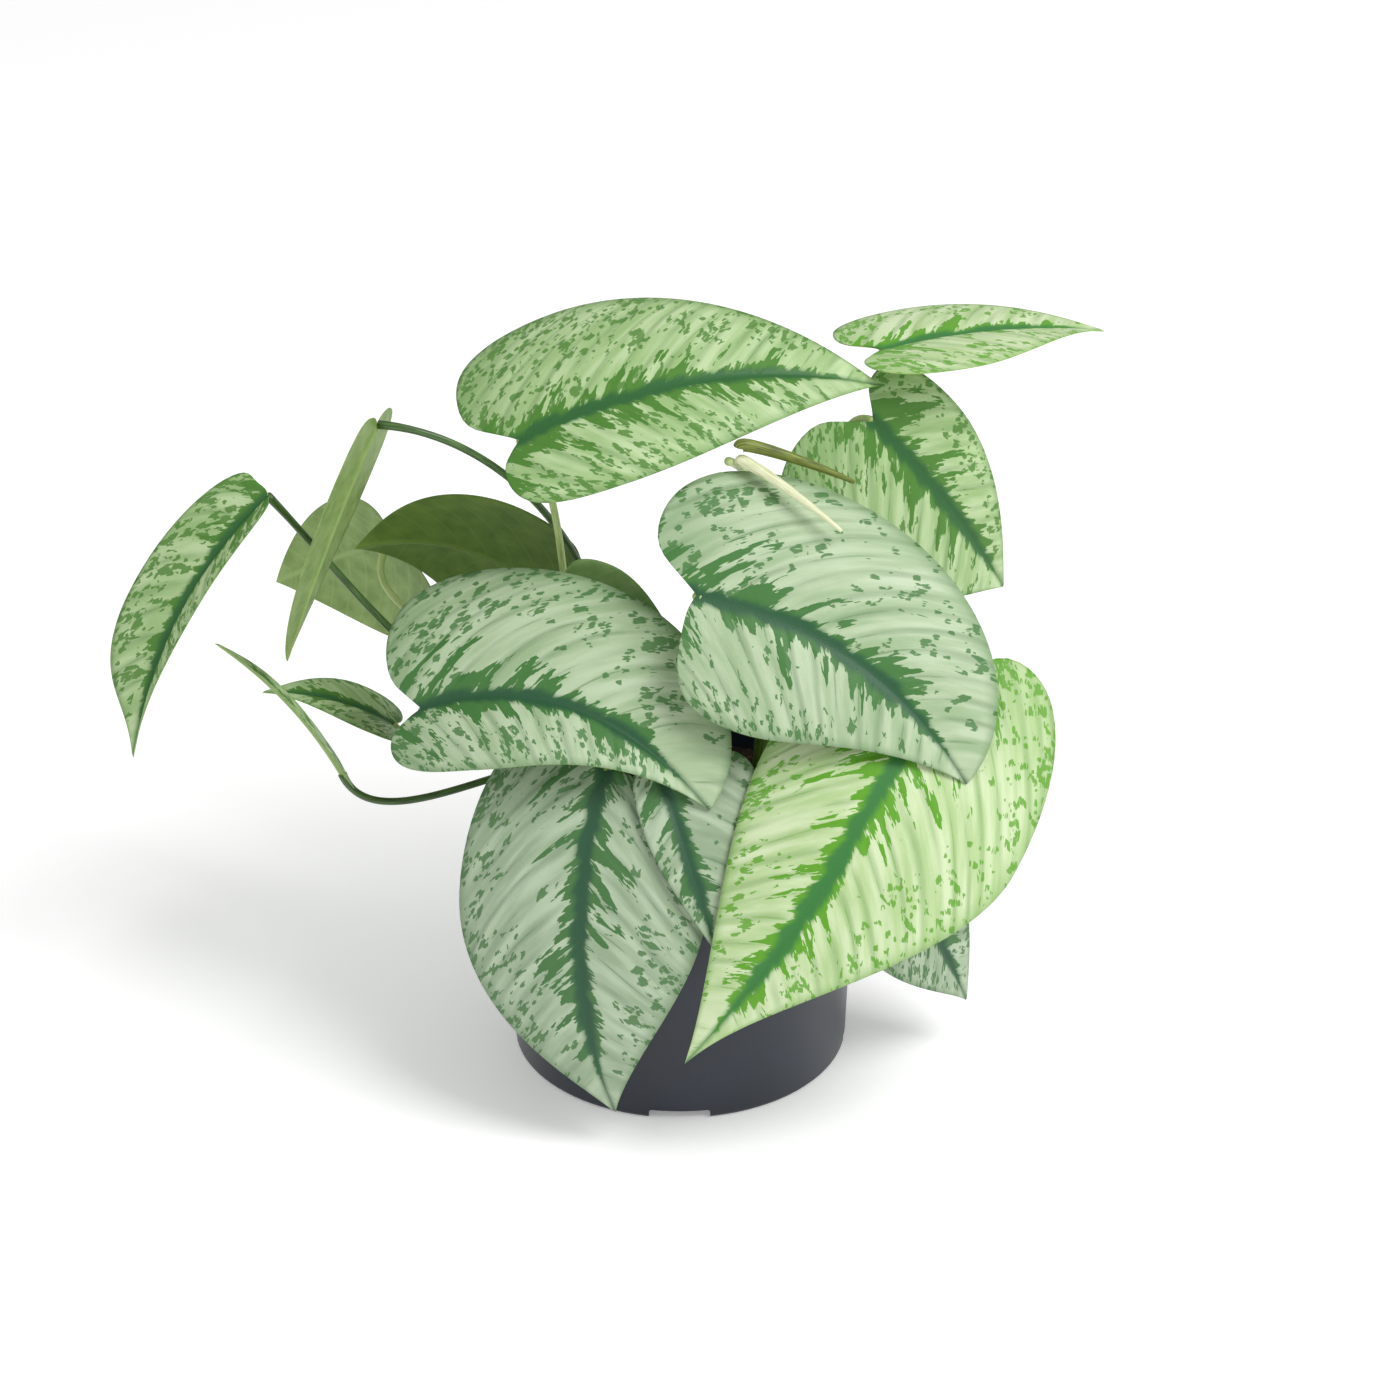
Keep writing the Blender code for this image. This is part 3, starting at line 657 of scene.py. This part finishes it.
def leaf_skin(name, leaf, silver, bright, fleck, band, patch, seed):
    """The upper skin of a satin leaf: silver, with green spots and a ragged green midrib."""
    made, tree, shader = new_material(name, 0.50, specular=0.30)
    width_mm = sum(leaf["halves"]) * 500

    blade = add_node(tree, "UVMap", uv_map="blade_mm")
    split = add_node(tree, "SeparateXYZ", {0: blade.outputs["UV"]})
    along, signed = split.outputs["X"], split.outputs["Y"]
    across = add_node(tree, "Math", signed, operation="ABSOLUTE")
    shares = add_node(tree, "UVMap", uv_map="blade_share")
    edge = add_node(tree, "SeparateXYZ", {0: shares.outputs["UV"]})
    toward_edge = add_node(tree, "Math", edge.outputs["Y"], operation="ABSOLUTE")
    down = add_node(tree, "Math", along, leaf["length"] * 1000, operation="DIVIDE")
    curve = add_node(tree, "Math", across, 0.013, 0.62, operation="MULTIPLY_ADD")
    vein = add_node(
        tree, "Math", along, add_node(tree, "Math", curve, across, operation="MULTIPLY"),
        operation="SUBTRACT",
    )
    layer = add_node(
        tree, "Math", add_node(tree, "Math", signed, operation="SIGN"), 13.7, seed,
        operation="MULTIPLY_ADD",
    )

    def grain(vein_mm, across_mm, shift, detail, roughness=0.5):
        """Noise with cells of this size across and along the side veins."""
        spot = add_node(
            tree, "CombineXYZ",
            {
                0: add_node(tree, "Math", vein, vein_mm, operation="DIVIDE"),
                1: add_node(tree, "Math", across, across_mm, operation="DIVIDE"),
                2: add_node(tree, "Math", layer, shift, operation="ADD"),
            },
        )
        return add_node(tree, "TexNoise", {
            "Vector": spot.outputs[0], "Scale": 1.0, "Detail": detail, "Roughness": roughness,
        }).outputs["Fac"]

    def spots(cell_mm, stretch, shift, density, smallest, largest):
        """Ragged spots, longer by the stretch along the veins, where the density allows them."""
        wobble = add_node(
            tree, "Math",
            add_node(tree, "Math", grain(1.2, 1.6, shift, 1.0), 0.5, operation="SUBTRACT"), 1.1,
            operation="MULTIPLY",
        )
        lean = add_node(
            tree, "Math", along, add_node(tree, "Math", across, 0.45, operation="MULTIPLY"),
            operation="SUBTRACT",
        )
        away = add_node(tree, "Math", signed, cell_mm * stretch, operation="DIVIDE")
        spot = add_node(
            tree, "CombineXYZ",
            {
                0: add_node(
                    tree, "Math", add_node(tree, "Math", lean, cell_mm, operation="DIVIDE"), wobble,
                    operation="ADD",
                ),
                1: add_node(
                    tree, "Math", away,
                    add_node(tree, "Math", seed + shift, wobble, operation="SUBTRACT"), operation="ADD",
                ),
            },
        )
        cell = add_node(tree, "TexVoronoi", {
            "Vector": spot.outputs[0], "Scale": 1.0}, voronoi_dimensions="2D")
        lot = add_node(tree, "SeparateColor", {0: cell.outputs["Color"]})
        size = add_node(
            tree, "MapRange", lot.outputs[1], 0.0, 1.0, smallest, largest,
            interpolation_type="SMOOTHSTEP",
        )
        inside = add_node(
            tree, "MapRange",
            add_node(tree, "Math", size, cell.outputs["Distance"], operation="SUBTRACT"), -0.05, 0.06,
            interpolation_type="SMOOTHSTEP",
        )
        return add_node(
            tree, "Math", inside,
            add_node(tree, "Math", lot.outputs[0], density, operation="LESS_THAN"),
            operation="MULTIPLY",
        )

    # The green along the midrib has a whole core 2 to 5 mm wide. Brighter fingers, about 3 mm wide
    # and up to half of the half leaf long, reach out of it along the veins.
    taper = add_node(tree, "MapRange", down, 0.94, 0.62, interpolation_type="SMOOTHSTEP")
    swell = add_node(tree, "MapRange", down, 0.55, 0.05, 0.55, 1.0, interpolation_type="SMOOTHSTEP")
    fingers = add_node(
        tree, "MapRange", grain(3.0, 10.0, 0.0, 3.0, 0.65), 0.4, 0.6, interpolation_type="SMOOTHSTEP",
    )
    longer = add_node(
        tree, "MapRange", grain(6.5, 30.0, 21.0, 1.0), 0.42, 0.64, 0.14, 0.56,
        interpolation_type="SMOOTHSTEP",
    )
    ragged = add_node(
        tree, "Math", add_node(tree, "Math", fingers, longer, operation="MULTIPLY"),
        add_node(tree, "Math", swell, width_mm, operation="MULTIPLY"), operation="MULTIPLY",
    )
    core = add_node(
        tree, "MapRange", grain(5.0, 40.0, 14.0, 2.0), 0.3, 0.7, 0.8 + width_mm * 0.01,
        1.2 + width_mm * 0.045, interpolation_type="SMOOTHSTEP",
    )
    reach = add_node(
        tree, "Math", add_node(tree, "Math", core, ragged, operation="ADD"), taper,
        operation="MULTIPLY",
    )
    in_band = add_node(
        tree, "MapRange", add_node(tree, "Math", reach, across, operation="SUBTRACT"), -0.3, 0.35,
        interpolation_type="SMOOTHSTEP",
    )
    in_core = add_node(
        tree, "MapRange",
        add_node(
            tree, "Math", add_node(tree, "Math", core, taper, operation="MULTIPLY"), across,
            operation="SUBTRACT",
        ),
        -1.6, 1.0, interpolation_type="SMOOTHSTEP",
    )

    # Spots are thick in patches along the edge and on the lobes, rare inside the blade, and thin
    # out at the tip. Some run along the veins as dashes.
    patches = add_node(
        tree, "Math", add_node(tree, "Math", grain(12.0, 13.0, 5.0, 2.0), 0.5, operation="SUBTRACT"),
        1.7, operation="MULTIPLY",
    )
    thick = add_node(
        tree, "Math",
        add_node(
            tree, "MapRange", toward_edge, 0.3, 0.92, patch - 0.06, patch + 0.4,
            interpolation_type="SMOOTHSTEP",
        ),
        patches, operation="ADD",
    )
    thick = add_node(
        tree, "Math", thick,
        add_node(tree, "MapRange", down, 0.02, 0.24, 0.22, 0.0, interpolation_type="SMOOTHSTEP"),
        operation="ADD",
    )
    thick = add_node(
        tree, "Math", thick,
        add_node(tree, "MapRange", down, 0.96, 0.66, 0.06, 1.0, interpolation_type="SMOOTHSTEP"),
        operation="MULTIPLY", use_clamp=True,
    )
    rarer = add_node(tree, "Math", thick, 0.6, operation="MULTIPLY")
    large_spots = spots(3.6, 1.0, 3.0, thick, 0.18, 0.46)
    small_spots = spots(2.0, 1.0, 47.0, rarer, 0.15, 0.44)
    round_spots = add_node(tree, "Math", large_spots, small_spots, operation="MAXIMUM")
    in_spot = add_node(
        tree, "Math", round_spots, spots(2.2, 3.2, 71.0, rarer, 0.16, 0.44), operation="MAXIMUM",
    )

    # Side veins are soft creases, with painted shade darkening along them, and some of them show as a thin
    # green line.
    wander = add_node(
        tree, "Math", add_node(tree, "Math", grain(17.0, 30.0, 80.0, 1.0), 0.5, operation="SUBTRACT"),
        0.9, operation="MULTIPLY",
    )
    turn = add_node(
        tree, "Math",
        add_node(
            tree, "Math", add_node(tree, "Math", vein, vein_spacing_mm, operation="DIVIDE"), wander,
            operation="ADD",
        ),
        operation="FRACT",
    )
    from_ridge = add_node(
        tree, "Math", add_node(tree, "Math", turn, 0.5, operation="SUBTRACT"), operation="ABSOLUTE",
    )
    vein_crease_painted_shade = add_node(
        tree, "Math",
        add_node(tree, "MapRange", from_ridge, 0.22, 0.5, interpolation_type="SMOOTHSTEP"),
        add_node(tree, "MapRange", across, 1.0, 7.0, 0.0, 0.55, interpolation_type="SMOOTHSTEP"),
        operation="MULTIPLY",
    )
    vein_crease_painted_shade = add_node(
        tree, "Math", vein_crease_painted_shade,
        add_node(
            tree, "MapRange", grain(9.0, 20.0, 61.0, 1.0), 0.35, 0.65, 0.25, 1.0,
            interpolation_type="SMOOTHSTEP",
        ),
        operation="MULTIPLY",
    )
    hair = add_node(
        tree, "Math",
        add_node(tree, "MapRange", from_ridge, 0.445, 0.48, interpolation_type="SMOOTHSTEP"),
        add_node(
            tree, "MapRange", grain(8.0, 12.0, 33.0, 2.0), 0.48, 0.62, interpolation_type="SMOOTHSTEP",
        ),
        operation="MULTIPLY",
    )
    hair = add_node(
        tree, "Math", hair,
        add_node(
            tree, "Math",
            add_node(tree, "MapRange", toward_edge, 0.95, 0.55, interpolation_type="SMOOTHSTEP"), 0.55,
            operation="MULTIPLY",
        ),
        operation="MULTIPLY",
    )
    colour = add_node(
        tree, "Mix",
        {
            0: add_node(
                tree, "MapRange", grain(5.0, 16.0, 3.0, 3.0), 0.3, 0.7, interpolation_type="SMOOTHSTEP",
            ),
            6: linear(silver), 7: linear(bright),
        },
        data_type="RGBA",
    ).outputs[2]
    green_edge = add_node(
        tree, "Math",
        add_node(tree, "MapRange", toward_edge, 0.86, 1.0, 0.0, 0.65, interpolation_type="SMOOTHSTEP"),
        add_node(tree, "MapRange", down, 0.12, -0.12, 0.0, 0.55, interpolation_type="SMOOTHSTEP"),
        operation="MAXIMUM",
    )
    colour = add_node(
        tree, "Mix", {0: green_edge, 6: colour, 7: blended(fleck, silver, 0.55)}, data_type="RGBA",
    ).outputs[2]
    # Painted shade: the creases are darkened towards a dull green silver.
    colour = add_node(
        tree, "Mix", {0: vein_crease_painted_shade, 6: colour, 7: blended(band, silver, 0.55)}, data_type="RGBA",
    ).outputs[2]
    colour = add_node(
        tree, "Mix", {0: hair, 6: colour, 7: blended(fleck, silver, 0.2)}, data_type="RGBA",
    ).outputs[2]
    colour = add_node(
        tree, "Mix",
        {0: add_node(tree, "Math", in_spot, 0.88, operation="MULTIPLY"), 6: colour, 7: linear(fleck)},
        data_type="RGBA",
    ).outputs[2]
    colour = add_node(
        tree, "Mix", {0: in_band, 6: colour, 7: linear(fleck)}, data_type="RGBA",
    ).outputs[2]
    colour = add_node(
        tree, "Mix", {0: in_core, 6: colour, 7: linear(band)}, data_type="RGBA",
    ).outputs[2]
    tree.links.new(colour, shader.inputs["Base Color"])
    gloss = add_node(
        tree, "MapRange", in_spot, 0.0, 1.0, 0.46, 0.54, interpolation_type="SMOOTHSTEP",
    )
    tree.links.new(gloss.outputs["Result"], shader.inputs["Roughness"])

    # The skin has a pebbled grain of about 0.6 mm, and the veins are sunk into it.
    pebble = add_node(tree, "Math", grain(0.55, 0.55, 2.0, 2.0), 0.22, operation="MULTIPLY")
    sunk = add_node(
        tree, "Math", add_node(tree, "Math", vein_crease_painted_shade, 1.6, operation="MULTIPLY"),
        add_node(tree, "Math", in_spot, 0.12, operation="MULTIPLY"), operation="ADD",
    )
    relief = add_node(
        tree, "Bump",
        {
            "Height": add_node(tree, "Math", pebble, sunk, operation="SUBTRACT"), "Strength": 0.6,
            "Distance": 0.0006,
        },
    )
    tree.links.new(relief.outputs["Normal"], shader.inputs["Normal"])
    return made


def under_skin(name, green, pale):
    """The under skin: plain green with no silver, and side veins that stand out paler."""
    made, tree, shader = new_material(name, 0.52, specular=0.35)
    blade = add_node(tree, "UVMap", uv_map="blade_mm")
    split = add_node(tree, "SeparateXYZ", {0: blade.outputs["UV"]})
    across = add_node(tree, "Math", split.outputs["Y"], operation="ABSOLUTE")
    drift = add_node(
        tree, "Math", add_node(tree, "Math", across, 0.013, 0.62, operation="MULTIPLY_ADD"), across,
        operation="MULTIPLY",
    )
    vein = add_node(tree, "Math", split.outputs["X"], drift, operation="SUBTRACT")
    turn = add_node(
        tree, "Math", add_node(tree, "Math", vein, vein_spacing_mm, operation="DIVIDE"),
        operation="FRACT",
    )
    line = add_node(
        tree, "MapRange",
        {
            "Value": add_node(
                tree, "Math", add_node(tree, "Math", turn, 0.5, operation="SUBTRACT"),
                operation="ABSOLUTE",
            ),
            "From Min": 0.42, "From Max": 0.5, "To Max": 0.5,
        },
    )
    rib = add_node(tree, "MapRange", {
        "Value": across, "From Min": 1.3, "From Max": 0.5, "To Max": 0.8})
    shown = add_node(tree, "Math", line.outputs[0], rib.outputs[0], operation="MAXIMUM")
    mottle = add_node(tree, "TexNoise", {
        "Vector": blade.outputs["UV"], "Scale": 0.16, "Detail": 4.0})
    base = add_node(tree, "ValToRGB", {"Fac": mottle.outputs["Fac"]})
    base.color_ramp.elements[0].position = 0.30
    base.color_ramp.elements[0].color = linear(green)
    base.color_ramp.elements[1].position = 0.80
    base.color_ramp.elements[1].color = linear(pale)
    tint = add_node(tree, "Mix", {0: shown, 6: base, 7: linear(pale)}, data_type="RGBA")
    tree.links.new(tint.outputs[2], shader.inputs["Base Color"])
    relief = add_node(tree, "Bump", {
        "Height": shown, "Strength": 0.30, "Distance": 0.0004})
    tree.links.new(relief.outputs["Normal"], shader.inputs["Normal"])
    return made


# Colours of each leaf: silver, its bright parts, flecks, midrib band, under skin and its paler
# parts. The number is how much more fleck a leaf has than the usual one, or less if negative.
fresh = ("#93b376", "#b6cc9c", "#4b7d2e", "#2c6130", "#6d9446", "#94b66c")
young = ("#abc68a", "#ccdcb2", "#5d9c28", "#38783a", "#7ba048", "#a2c26c")
# The next two sets are the fresh colours made darker for leaves that lie in the shade of others: painted
# shade.
painted_shade_colours = ("#98b088", "#b7c8a8", "#43743a", "#2a5638", "#66894a", "#88a766")
deep_painted_shade_colours = ("#8fa385", "#adbea2", "#45703f", "#2b5239", "#55793c", "#769458")
olive = ("#8fac70", "#a5c087", "#557d2f", "#3a682a", "#6d8a44", "#93ac68")
# This set is the olive one with a darker under skin, for a leaf deep inside the plant: painted shade.
olive_with_painted_shade_under = ("#8fac70", "#a5c087", "#557d2f", "#3a682a", "#4a6a1a", "#6a8630")
leaf_finish = {
    "leaf_top": (fresh, 0.16), "leaf_top_right": (young, 0.04), "leaf_right": (fresh, 0.02),
    "leaf_middle": (painted_shade_colours, -0.04), "leaf_front_right": (young, -0.02),
    "leaf_centre_left": (painted_shade_colours, 0.02), "leaf_front_left": (deep_painted_shade_colours, 0.04),
    "leaf_front_middle": (deep_painted_shade_colours, 0.06), "leaf_far_left": (fresh, 0.22),
    "leaf_edge_left": (olive, 0.20), "leaf_back": (olive, 0.10), "leaf_back_inner": (olive_with_painted_shade_under, 0.10),
    "leaf_small_left": (fresh, 0.16), "leaf_thin_left": (olive, 0.10),
    "leaf_low_right": (deep_painted_shade_colours, 0.08), "leaf_inner": (painted_shade_colours, 0.02),
}
for order, (name, leaf) in enumerate(leaves.items()):
    (silver, bright, fleck, band, green, pale), patch = leaf_finish[name]
    top_skin = leaf_skin("satin_" + name, leaf, silver, bright, fleck, band, patch, order * 31.0 + 3.0)
    low_skin = under_skin("under_" + name, green, pale)
    add_piece(blade_mesh(name, leaf), [top_skin, low_skin], "leaf", name)


# The leaf stalks: each is thickest where it leaves its vine, arches over under the leaf's weight
# and turns up into the back of the midrib, where it thickens a little.

petiole_radius = 0.0013
petiole_leave = 0.30
petiole_arrive = 0.35


def grooved(share, turn):
    """A stalk's section: round, with a shallow groove along one side."""
    return 1.0 - 0.16 * math.exp(-((math.remainder(turn, math.tau) / 0.5) ** 2))


def make_petioles():
    pale = stalk_skin("stalk_skin_pale", "#8da758", "#bccb86", 0.42)
    dark = stalk_skin("stalk_skin_painted_shade", "#20391a", "#4f7330", 0.42)
    # The stalks under the far left leaves get the darker skin: painted shade.
    stalks_in_painted_shade = {"leaf_far_left", "leaf_edge_left", "leaf_thin_left"}
    straight_up = Vector((0.0, 0.0, 1.0))
    for name, leaf in leaves.items():
        base, along, normal, _ = leaf_axes(leaf)
        node = vine_point(leaf["vine"], leaf["joins"])
        outward = ((base - node) * Vector((1, 1, 0))).normalized()
        start = node + outward * (stem_radius * 0.4)
        leave = outward.lerp(straight_up, leaf.get("rise", unlifted)).normalized()
        slant = math.radians(leaf["stalk"])
        arrive = along * math.sin(slant) + normal * math.cos(slant)
        arrive = arrive.lerp(straight_up, leaf.get("upright", unlifted)).normalized()
        end = base - arrive * 0.0004
        reach = (end - start).length
        controls = [
            start, start + leave * reach * petiole_leave,
            end - arrive * reach * petiole_arrive, end,
        ]
        steps = 48
        points = [bezier(controls, step / steps) for step in range(steps + 1)]
        radii = []
        for step in range(steps + 1):
            share = step / steps
            sheath = 0.55 * max(0.0, 1 - share / 0.22) ** 1.5
            collar = 0.20 * max(0.0, (share - 0.90) / 0.10)
            radii.append(petiole_radius * (0.88 + sheath + collar))
        stalk = name.replace("leaf", "petiole", 1)
        skin = dark if name in stalks_in_painted_shade else pale
        add_piece(tube(stalk, points, radii, 16, grooved), [skin], "petiole", stalk)


make_petioles()


# The new leaf: the youngest leaf, still rolled into a tight pale spike on its own stalk, and
# beside it the olive sheath that it came out of, split open and drying.

new_leaf_at = (0.014, -0.010, 0.111)
new_leaf_lift = 0.012
new_leaf_taper = 0.7
new_leaf_drop = (0.028, -0.016, -0.014)
roll_lift = 0.002
shoot_radius = 0.0018
sheath_radius = 0.0024
sheath_above = 0.0004
sheath_drop = (0.032, 0.002, -0.012)
sheath_lift = 0.002


def rolled(share, turn):
    """A rolled leaf's section, with the free edge as a step round it."""
    return 0.92 + 0.14 * (turn / math.tau)


def boat(share, turn):
    """A split sheath's section: flattened, with a trough along it."""
    return 0.62 + 0.38 * abs(math.cos(turn))


def drooping(name, start, end, lift, radii, skin, slot_name, section):
    controls = [start, start + Vector((0, 0, lift)), start.lerp(end, 0.6) + Vector((0, 0, lift)), end]
    steps = len(radii) - 1
    points = [bezier(controls, step / steps) for step in range(steps + 1)]
    add_piece(tube(name, points, radii, 24, section), [skin], slot_name, name)


def make_new_leaf():
    _, top = vine_ends("vine_right")
    collar = Vector((new_leaf_at[0], new_leaf_at[1], pot_height + new_leaf_at[2]))
    steps = 40
    stalk = stalk_skin("young_stalk_skin", "#9db46a", "#c9d69a", 0.40)
    even = [petiole_radius] * (steps + 1)
    drooping("petiole_new", top, collar, new_leaf_lift, even, stalk, "petiole", grooved)
    shares = [step / steps for step in range(steps + 1)]
    narrow = [shoot_radius * (1 - new_leaf_taper * share**2) for share in shares]
    foot = collar + Vector((shoot_radius + petiole_radius + clearance, 0, 0))
    roll = stalk_skin("rolled_leaf_skin", "#bcc690", "#f0eed0", 0.38)
    drooping("new_leaf", foot, foot + Vector(new_leaf_drop), roll_lift, narrow, roll, "new_leaf", rolled)
    foot = foot + Vector((0, 0, shoot_radius + sheath_radius + sheath_above))
    papery = stalk_skin("drying_sheath_skin", "#3c4a12", "#7f8c2e", 0.55)
    wide = [sheath_radius * radius / shoot_radius for radius in narrow]
    drooping("leaf_sheath", foot, foot + Vector(sheath_drop), sheath_lift, wide, papery, "sheath", boat)


make_new_leaf()


# The studio: a pale round floor 12 m across, one large soft light high on the right, a wider and
# weaker one on the left, and an even white surround.

def make_studio():
    mesh = bpy.data.meshes.new("floor")
    bm = bmesh.new()
    bmesh.ops.create_circle(bm, cap_ends=True, segments=96, radius=6.0)
    bm.to_mesh(mesh)
    bm.free()
    floor = bpy.data.objects.new("floor", mesh)
    bpy.context.scene.collection.objects.link(floor)
    paint, tree, shader = new_material("matte_white_paint", 0.9)
    shader.inputs["Base Color"].default_value = linear("#fafafa")
    shader.inputs["Emission Color"].default_value = (1, 1, 1, 1)
    shader.inputs["Emission Strength"].default_value = 0.22
    mesh.materials.append(paint)
    world = bpy.data.worlds.new("surround")
    world.use_nodes = True
    world.node_tree.nodes["Background"].inputs["Color"].default_value = (1, 1, 1, 1)
    world.node_tree.nodes["Background"].inputs["Strength"].default_value = 0.58
    bpy.context.scene.world = world
    bpy.context.scene.view_settings.view_transform = "Standard"
    for name, place, size, power in (
        ("key", (0.9, -0.7, 1.6), 0.9, 24.0), ("fill", (-1.4, -0.9, 0.8), 1.6, 3.0),
    ):
        light = bpy.data.lights.new(name, "AREA")
        light.size = size
        light.energy = power
        lamp = bpy.data.objects.new(name, light)
        bpy.context.scene.collection.objects.link(lamp)
        lamp.location = place
        lamp.rotation_mode = "QUATERNION"
        lamp.rotation_quaternion = (Vector((0, 0, 0.1)) - Vector(place)).to_track_quat("-Z", "Y")


make_studio()


# The camera: it looks down at the plant by 28 degrees, from straight in front.

def make_camera():
    lens = bpy.data.cameras.new("camera")
    lens.lens = 105
    lens.sensor_width = 36
    camera = bpy.data.objects.new("camera", lens)
    bpy.context.scene.collection.objects.link(camera)
    aim = Vector((0.006, 0.0, 0.113))
    down = math.radians(28)
    camera.location = aim + Vector((0.0, -math.cos(down), math.sin(down))) * 1.19
    camera.rotation_mode = "QUATERNION"
    camera.rotation_quaternion = (aim - camera.location).to_track_quat("-Z", "Y")
    bpy.context.scene.camera = camera


make_camera()
